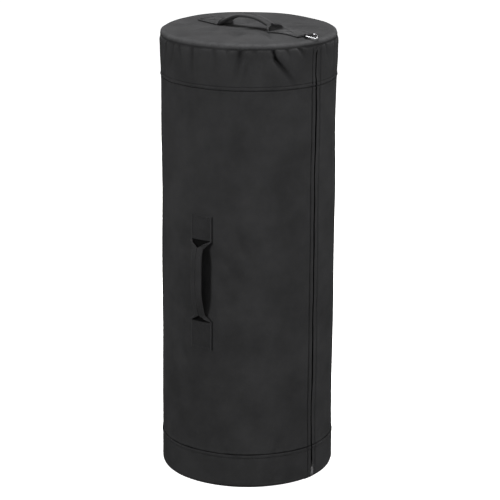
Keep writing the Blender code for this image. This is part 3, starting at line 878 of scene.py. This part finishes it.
def build_slider():
    """Two shaped plates joined by a wedge, a crown that comes out through the slit, and the pull."""
    low, high = SLIDER_LOW.z, SLIDER_HIGH.z
    middle = (low + high) / 2
    half = SLIDER_HIGH.x
    plate_gap = 0.00245
    upright = Matrix.Rotation(math.pi / 2, 4, "X")
    depth = (TEETH_LOW.y + TEETH_HIGH.y) / 2
    plate = [(-half, low + 0.004), (-half, high - 0.006), (-half * 0.62, high), (half * 0.62, high)]
    plate += [(half, high - 0.006), (half, low + 0.004), (half * 0.75, low), (-half * 0.75, low)]
    wedge = [(-0.0014, low + 0.0008), (0.0014, low + 0.0008), (0.0005, middle), (-0.0005, middle)]
    pieces = []
    for name, loop, y, thickness, bevel in (
        ("slider_plate_front", rounded(plate, 0.0022), depth - plate_gap, 0.0012, 0.0003),
        ("slider_plate_rear", rounded(plate, 0.0022), depth + plate_gap, 0.0012, 0.0003),
        ("slider_wedge", rounded(wedge, 0.0006), depth, 0.0044, 0.0002),
    ):
        piece = outline_solid(name, [loop], thickness, bevel, DARK_METAL)
        piece.data.transform(Matrix.Translation((0, y, 0)) @ upright)
        pieces.append(piece)
    for name, turn in SIDES:
        x = turn * (half - 0.0007)
        start, end = (x - 0.0005, depth - 0.0026, low + 0.0045), (x + 0.0005, depth - 0.0010, high - 0.0065)
        pieces.append(rounded_block(f"slider_guide_{name}", start, end, 0.00035, DARK_METAL))
    pivot = JOINTS["pull_swing"]["pos_m"]
    front, reach = depth - 0.0029, 0.0034
    turns = np.linspace(0, math.pi, 25)
    y = front - (front - (pivot[1] - 0.0032)) * np.abs(np.sin(turns)) ** 0.55
    arch = grid(0.0, y, pivot[2] - reach * np.cos(turns))
    foot = front + 0.0006
    arch = np.array([(0.0, foot, pivot[2] - reach), *arch, (0.0, foot, pivot[2] + reach)])
    rings = tube_rings(arch, np.broadcast_to([1.0, 0.0, 0.0], arch.shape), 0.00085, 10)
    crown = make("slider_crown", rings.reshape(-1, 3), ring_faces(len(arch), 10), DARK_METAL)
    crown.data.transform(Matrix.Diagonal((1.35, 1.0, 1.0, 1.0)))
    carry(pieces[0], "slider", "slider_metal", "zipper_slider")
    for piece in (*pieces[1:], crown):
        carry(piece, "slider", "slider_metal")

    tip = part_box("zipper_pull")[0].z - pivot[2]
    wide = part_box("zipper_pull")[1].x
    edge = [(0.80, 0.0009), (0.84, -0.0080), (0.62, -0.0110), (0.98, tip * 0.72), (0.90, tip)]
    outer = [(wide * x, z) for x, z in edge] + [(-wide * x, z) for x, z in edge[::-1]]
    eye = [(-0.0024, -0.0008), (-0.0024, -0.0064), (0.0024, -0.0064), (0.0024, -0.0008)]
    grip = [(-0.0016, tip + 0.0072), (-0.0016, tip + 0.0028), (0.0016, tip + 0.0028), (0.0016, tip + 0.0072)]
    loops = [rounded(outer, 0.0024), rounded(eye, 0.0018), rounded(grip, 0.0014)]
    pull = outline_solid("zipper_pull_tab", loops, 0.0015, 0.00035, PALE_METAL)
    pull.data.transform(Matrix.Translation(pivot) @ upright)
    carry(pull, "pull", "slider_metal", "zipper_pull")

    for node in ("zipper_top_stop", "zipper_bottom_stop"):
        carry(rounded_block(f"{node}_staple", *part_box(node), 0.0007, DARK_METAL), "root", "slider_metal", node)


# ---------------------------------------------------------------- handles

STRAP_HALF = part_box("top_handle_front_patch")[1].x
FOLD_LINE = 0.0103
BEND = 0.0021
BEND_LENGTH = 0.03
TOP_GRIP_SINK = 0.0072
SIDE_GRIP_RISE = 0.0190


def folded(w, share):
    """Where a point w across the strap lies when both edges turn in over the front.

    The crease starts at the strap's edge and moves in as share rises, so the edges make a V.
    """
    crease = STRAP_HALF - (STRAP_HALF - FOLD_LINE) * share
    angle = math.pi * 0.955 * np.clip(share * 1.3, 0, 1)
    beyond = np.maximum(np.abs(w) - crease, 0)
    bend = np.minimum(beyond / BEND, angle)
    straight = np.maximum(beyond - BEND * angle, 0)
    side = np.minimum(np.abs(w), crease) + BEND * np.sin(bend) + straight * np.cos(angle)
    rise = BEND * (1 - np.cos(bend)) + straight * np.sin(angle)
    return np.sign(w) * side, rise


class Strap:
    """One handle: a strap sewn down at both ends, folded into a grip that stands off between them.

    ends holds both ends of both sewn parts, along the strap. surface places the strap on the bag. The grip
    rises to its peak with a flat stretch beside each sewn end.
    """

    def __init__(self, name, ends, rise, surface, peak, sharpness, flat):
        self.name, self.ends, self.rise, self.surface = name, ends, rise, surface
        self.peak, self.sharpness, self.flat = peak, sharpness, flat

    def arch(self, v):
        """Height of the strap's middle line over the surface."""
        low, high = self.ends[1] + self.flat, self.ends[2] - self.flat
        t = np.clip((v - low) / (high - low), 0, 1)
        bent = t ** (math.log(0.5) / math.log(self.peak))
        return self.rise * np.clip(1 - np.abs(2 * bent - 1) ** self.sharpness, 0, 1)

    def share(self, v):
        inner = np.minimum(v - self.ends[1], self.ends[2] - v)
        return np.clip((inner - 0.001) / 0.019, 0, 1)

    def points(self, w, v):
        """Middle layer of the strap at w across and v along."""
        share = self.share(v)
        side, up = folded(w, share)
        slack = 0.0005 * np.sin(v * 70.0 + w * 40.0) * share
        edge = bell(STRAP_HALF - np.abs(w), 0.0032)
        tip = bell(self.ends[0] - v, 0.0030) + bell(self.ends[3] - v, 0.0030)
        curl = np.where(w > 0, 0.0015, 0.0009) * edge + 0.0008 * tip
        slack = slack + curl * (1 - share)
        slope = np.gradient(self.arch(v), axis=0) / np.maximum(np.gradient(v, axis=0), 1e-9)
        lean = 1 / np.sqrt(1 + slope**2)
        height = self.arch(v) + up * lean + slack
        along = v - up * slope * lean
        return self.surface(side, along, height, share)

    def build(self):
        first, low, high, last = self.ends
        marks = (first, low, low + BEND_LENGTH, high - BEND_LENGTH, high, last)
        counts = (33, 33, 59, 33, 34)
        parts = [np.linspace(a, b, n, endpoint=b == last) for a, b, n in zip(marks, marks[1:], counts)]
        w = np.linspace(-STRAP_HALF, STRAP_HALF, 61)[None, :]
        v, w = np.broadcast_arrays(np.concatenate(parts)[:, None], w)
        middle = self.points(w, v)
        normals = grid_normals(middle)
        edge = bell(np.abs(w) - STRAP_HALF, 0.0014)
        top = middle + normals * (WEBBING / 2 * (1 - 0.35 * edge))[..., None]
        share = self.share(v)
        wear_and_shade = 0.45 * edge + 0.35 * share * bell(np.abs(w) - FOLD_LINE - 0.003, 0.003)
        # painted shade in the pockets where the edges turn in, and painted shade on the undersides of the sewn
        # ends
        crease = STRAP_HALF - (STRAP_HALF - FOLD_LINE) * share
        mouth = step(share, 0.02, 0.12) * (1 - step(share, 0.92, 1.0))
        pocket_shade = mouth * (1 - step(np.abs(w), crease - 0.0012, crease - 0.0004))
        wear_and_shade = np.clip(wear_and_shade - 1.2 * pocket_shade, -1, 1)
        under_wear_and_shade = -0.9 * (1 - np.clip(share * 4, 0, 1))
        return shell(f"{self.name}_strap", top, normals, WEBBING, grid(w, v), STRAP, wear_and_shade, under_wear_and_shade)

    def run(self, w, v):
        """A line over the strap's outer face, with its normals."""
        w, v = np.asarray(w, float), np.asarray(v, float)
        reach = 0.0004
        path = self.points(w, v)
        across = self.points(w + reach, v) - self.points(w - reach, v)
        along = self.points(w, v + reach) - self.points(w, v - reach)
        normal = unit(np.cross(across, along))
        return path + normal * (WEBBING / 2 + 0.0001), normal

    def stitches(self):
        """A box with a cross on each sewn end."""
        tubes = []
        inset, side, over = 0.0048, STRAP_HALF - 0.0045, 0.0022
        for start, end in (self.ends[:2], self.ends[2:]):
            low, high = start + inset, end - inset
            corners = [(-side, low), (side, low), (side, high), (-side, high), (-side, low)]
            lines = [*zip(corners, corners[1:]), (corners[0], corners[2]), (corners[1], corners[3])]
            lines += [((-side, v), (side, v)) for v in (low - over, high + over)]
            for (w0, v0), (w1, v1) in lines:
                t = np.linspace(0, 1, 60)
                path, normals = self.run(w0 + (w1 - w0) * t, v0 + (v1 - v0) * t)
                tubes.append(stitch_verts(path, normals, pitch=0.0035, length=0.0028)[0])
        return stitch_object(f"{self.name}_stitches", np.concatenate(tubes))


def lid_surface(side, along, height, share):
    """Follows the lid across the sewn ends, and stays level across the grip."""
    level = lid_height(side, along) * (1 - share) + lid_height(0 * side, along) * share
    return grid(side, along, level + WEBBING / 2 + 0.0003 + height)


SIDE_PIVOT = JOINTS["side_grip_swing"]["pos_m"]
SIDE_TURN = math.atan2(SIDE_PIVOT[0], -SIDE_PIVOT[1])


def wall_surface(side, along, height, share):
    """Across the strap is round the bag on the sewn ends and straight on the grip."""
    bent = SIDE_TURN + side / RADIUS
    radius = RADIUS + (wall_out(bent * RADIUS, along) + WEBBING / 2 + 0.0003) + height
    across = np.array([math.cos(SIDE_TURN), math.sin(SIDE_TURN), 0.0])
    straight = polar(radius, SIDE_TURN, along) + side[..., None] * across
    mixed = np.broadcast_to(share, straight.shape[:-1])[..., None]
    return polar(radius, bent, along) * (1 - mixed) + straight * mixed


def build_handles():
    front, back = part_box("top_handle_front_patch"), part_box("top_handle_back_patch")
    ends = (front[0].y, front[1].y, back[0].y, back[1].y)
    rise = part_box("top_handle_grip")[1].z - HEIGHT - TOP_GRIP_SINK
    top = Strap("top_handle", ends, rise, lid_surface, 0.54, 2.5, 0.003)
    lower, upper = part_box("side_handle_lower_patch"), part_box("side_handle_upper_patch")
    ends = (lower[0].z, lower[1].z, upper[0].z, upper[1].z)
    side = Strap("side_handle", ends, SIDE_GRIP_RISE, wall_surface, 0.60, 3.4, 0.005)
    outward = Vector((math.sin(SIDE_TURN), -math.cos(SIDE_TURN), 0))
    middle = Vector((0, 0, SIDE_PIVOT[2]))
    for strap, start, end, patches in (
        (top, Vector((0, 0, HEIGHT + 0.004)), Vector((0, 0, HEIGHT + 0.022)), ("front", "back")),
        (side, outward * (RADIUS + 0.0055) + middle, outward * (RADIUS + 0.020) + middle, ("lower", "upper")),
    ):
        made = strap.build()
        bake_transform(made)
        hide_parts(f"{strap.name}_grip", *(f"{strap.name}_{patch}_patch" for patch in patches))
        carry(strap.stitches(), "root", "webbing")


# ---------------------------------------------------------------- tie ring


def build_ring():
    """A D of wire: a straight bar, two rounded corners and a bow."""
    bar = Vector(JOINTS["ring_swing"]["pos_m"])
    wire, half, sides = 0.00175, 0.0139, 16
    bend, straight, bow = 0.0034, 0.006, 0.016

    def corner(side, turns):
        return [(side * (half - bend) + bend * math.cos(t), -bend + bend * math.sin(t)) for t in turns]

    outline = corner(1, np.linspace(math.pi / 2, 0, 8))
    outline += [(half * math.cos(t), -straight - bow * math.sin(t)) for t in np.linspace(0, math.pi, 48)]
    outline += corner(-1, np.linspace(math.pi, math.pi / 2, 8))
    outline += [(x, 0.0) for x in np.linspace(bend - half, half - bend, 14)[1:-1]]
    path = np.array([(x, y, 0.0) for x, y in outline])
    up = np.broadcast_to([0.0, 0.0, 1.0], path.shape)
    side = np.cross(unit(np.roll(path, -1, 0) - np.roll(path, 1, 0)), up)
    rings = spokes(path, side, up, wire, sides)
    ring = make("tie_ring_wire", rings.reshape(-1, 3), ring_faces(len(path), sides, closed=True), RING_METAL)
    ring.data.transform(Matrix.Translation(bar) @ Matrix.Rotation(math.radians(12.0), 4, "X"))
    carry(ring, "ring", "ring_steel", "tie_ring")

    # the tab runs from under the strap, round the bar and back
    low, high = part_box("ring_tab")
    thick = 0.0012
    loop = wire + 0.0003 + thick / 2
    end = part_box("top_handle_front_patch")[0].y + 0.004
    floor = float(lid_height(0.0, bar.y + 0.006)) + thick / 2 + 0.0002
    top = floor + thick + 0.0002
    route = [(end, floor), (bar.y + 0.0035, floor + 0.0002)]
    for t in np.radians(np.linspace(-95, -275, 22)):
        route.append((bar.y + loop * math.cos(t), bar.z + loop * math.sin(t)))
    route += [(bar.y + 0.0040, bar.z + loop * 0.62), (bar.y + 0.0075, top + 0.0006), (end, top)]
    route = np.array(route)
    reach = np.concatenate([[0], np.cumsum(np.linalg.norm(np.diff(route, axis=0), axis=1))])
    at = np.linspace(0, reach[-1], 70)
    line = np.stack([np.interp(at, reach, route[:, k]) for k in range(2)], -1)
    for _ in range(2):
        line[1:-1] = (line[:-2] + 2 * line[1:-1] + line[2:]) / 4
    x = np.linspace(low.x, high.x, 25)
    points = grid(x, line[:, :1], line[:, 1:])[::-1]
    normals = grid_normals(points)
    uv = grid(x, at[:, None])[::-1]
    wear_and_shade = np.broadcast_to(0.7 * bell(np.abs(x) - high.x, 0.001), points.shape[:2])
    tab = shell("ring_tab_webbing", points + normals * thick / 2, normals, thick, uv, STRAP, wear_and_shade)
    carry(tab, "root", "webbing", "ring_tab")


# ---------------------------------------------------------------- inner seams


def build_bindings():
    """Folded tape over each seam allowance inside. All but the lowest leave a gap behind the zipper."""
    gap = math.radians(8.0)
    back_end = 2 * math.pi - FOLD_ANGLE
    parts = (("left", -FOLD_ANGLE, -gap), ("right", gap, FOLD_ANGLE), ("back", FOLD_ANGLE, back_end))
    corners = np.linspace(0, 2 * math.pi, 17)[:-1]
    for node, name, spans in (
        ("base_seam_binding", "base_seam_tape", (("back", 0.0, 2 * math.pi),)),
        ("bottom_band_binding", "lower_seam_tape", parts),
        ("top_band_binding", "upper_seam_tape", parts),
        ("lid_seam_binding", "rim_seam_tape", parts),
    ):
        low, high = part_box(node)
        rise = (high.z - low.z) / 2
        lift = np.sin(corners)
        half = "upper" if low.z > SLIT_MIDDLE else "lower"
        for region, start, end in spans:
            turns = np.linspace(start, end, max(8, int((end - start) / math.radians(2))))[:, None]
            ripple = 0.0006 * np.sin(21 * turns) + 0.0003 * np.sin(47 * turns)
            radius = high.x - 0.0016 + ripple + 0.0012 * np.cos(corners)
            z = (low.z + high.z) / 2 + rise * np.sign(lift) * np.abs(lift) ** 0.5
            verts = polar(radius, turns, z).reshape(-1, 3)
            uv = grid(turns * high.x, np.linspace(0, 0.024, len(corners))).reshape(-1, 2)
            piece = make(f"{name}_{region}", verts, ring_faces(len(turns), len(corners)), LINING, uv)
            back = region == "back"
            settle(piece, region if back else f"{region}_{half}", "binding_tape", (node,) if back else ())


# ---------------------------------------------------------------- studio

PAPER_GLOW = {"Emission Color": (1, 1, 1), "Emission Strength": 0.97}
FLOOR_Z = -0.0012
BACKDROP_RADIUS = 11.0


def build_studio():
    camera = bpy.data.cameras.new("camera")
    camera.sensor_width = 36.0
    camera.lens = 162.3
    camera.shift_x = 0.00416
    camera.clip_end = 50.0
    holder = link("camera", camera)
    away, height, pitch, roll = 5.06, 1.944, math.radians(15.76), math.radians(0.29)
    holder.location = polar(away, CAMERA_TURN, height)
    turn = Matrix.Rotation(CAMERA_TURN, 4, "Z") @ Matrix.Rotation(math.pi / 2 - pitch, 4, "X")
    holder.rotation_euler = (turn @ Matrix.Rotation(roll, 4, "Z")).to_euler()
    bpy.context.scene.camera = holder

    paper = Nodes("floor_paper", {"Base Color": (0.93, 0.93, 0.93), "Roughness": 0.9, **PAPER_GLOW}).material
    bm = bmesh.new()
    bmesh.ops.create_grid(bm, x_segments=2, y_segments=2, size=12.0)
    floor = from_bmesh("floor", bm, paper)
    floor.location.z = FLOOR_Z
    floor.visible_diffuse = False

    inputs = {"Base Color": (0, 0, 0), "Specular IOR Level": 0.0, **PAPER_GLOW}
    bm = bmesh.new()
    bmesh.ops.create_uvsphere(bm, u_segments=64, v_segments=32, radius=BACKDROP_RADIUS)
    backdrop = from_bmesh("backdrop", bm, Nodes("backdrop_paper", inputs).material)
    backdrop.visible_diffuse = backdrop.visible_glossy = backdrop.visible_shadow = False

    world = bpy.data.worlds.new("studio")
    world.use_nodes = True
    sky = world.node_tree.nodes["Background"].inputs
    sky["Color"].default_value = (1, 1, 1, 1)
    sky["Strength"].default_value = 0.06
    bpy.context.scene.world = world
    bpy.context.scene.view_settings.view_transform = "Standard"

    for name, azimuth, distance, up, size, power, aim in (
        ("left_light", -57, 3.4, 1.5, 0.7, 90, 0.55),
        ("right_light", 54, 3.6, 1.5, 1.0, 100, 0.55),
        ("front_light", 20, 3.8, 1.3, 1.2, 13, 0.55),
        ("back_light", 180, 3.6, 1.9, 1.4, 70, 0.55),
        ("top_light", 170, 0.5, 3.8, 2.0, 185, 1.0),
    ):
        light = bpy.data.lights.new(name, "AREA")
        light.shape = "DISK"
        light.size = size
        light.energy = power
        lamp = link(name, light)
        lamp.location = polar(distance, CAMERA_TURN + math.radians(azimuth), up)
        lamp.rotation_euler = (lamp.location - Vector((0, 0, aim))).to_track_quat("Z", "Y").to_euler()
        lamp.visible_camera = False


build_wall()
build_lid()
build_wall_stitches()
build_tapes()
build_teeth()
build_slider()
build_handles()
build_ring()
build_bindings()
build_studio()
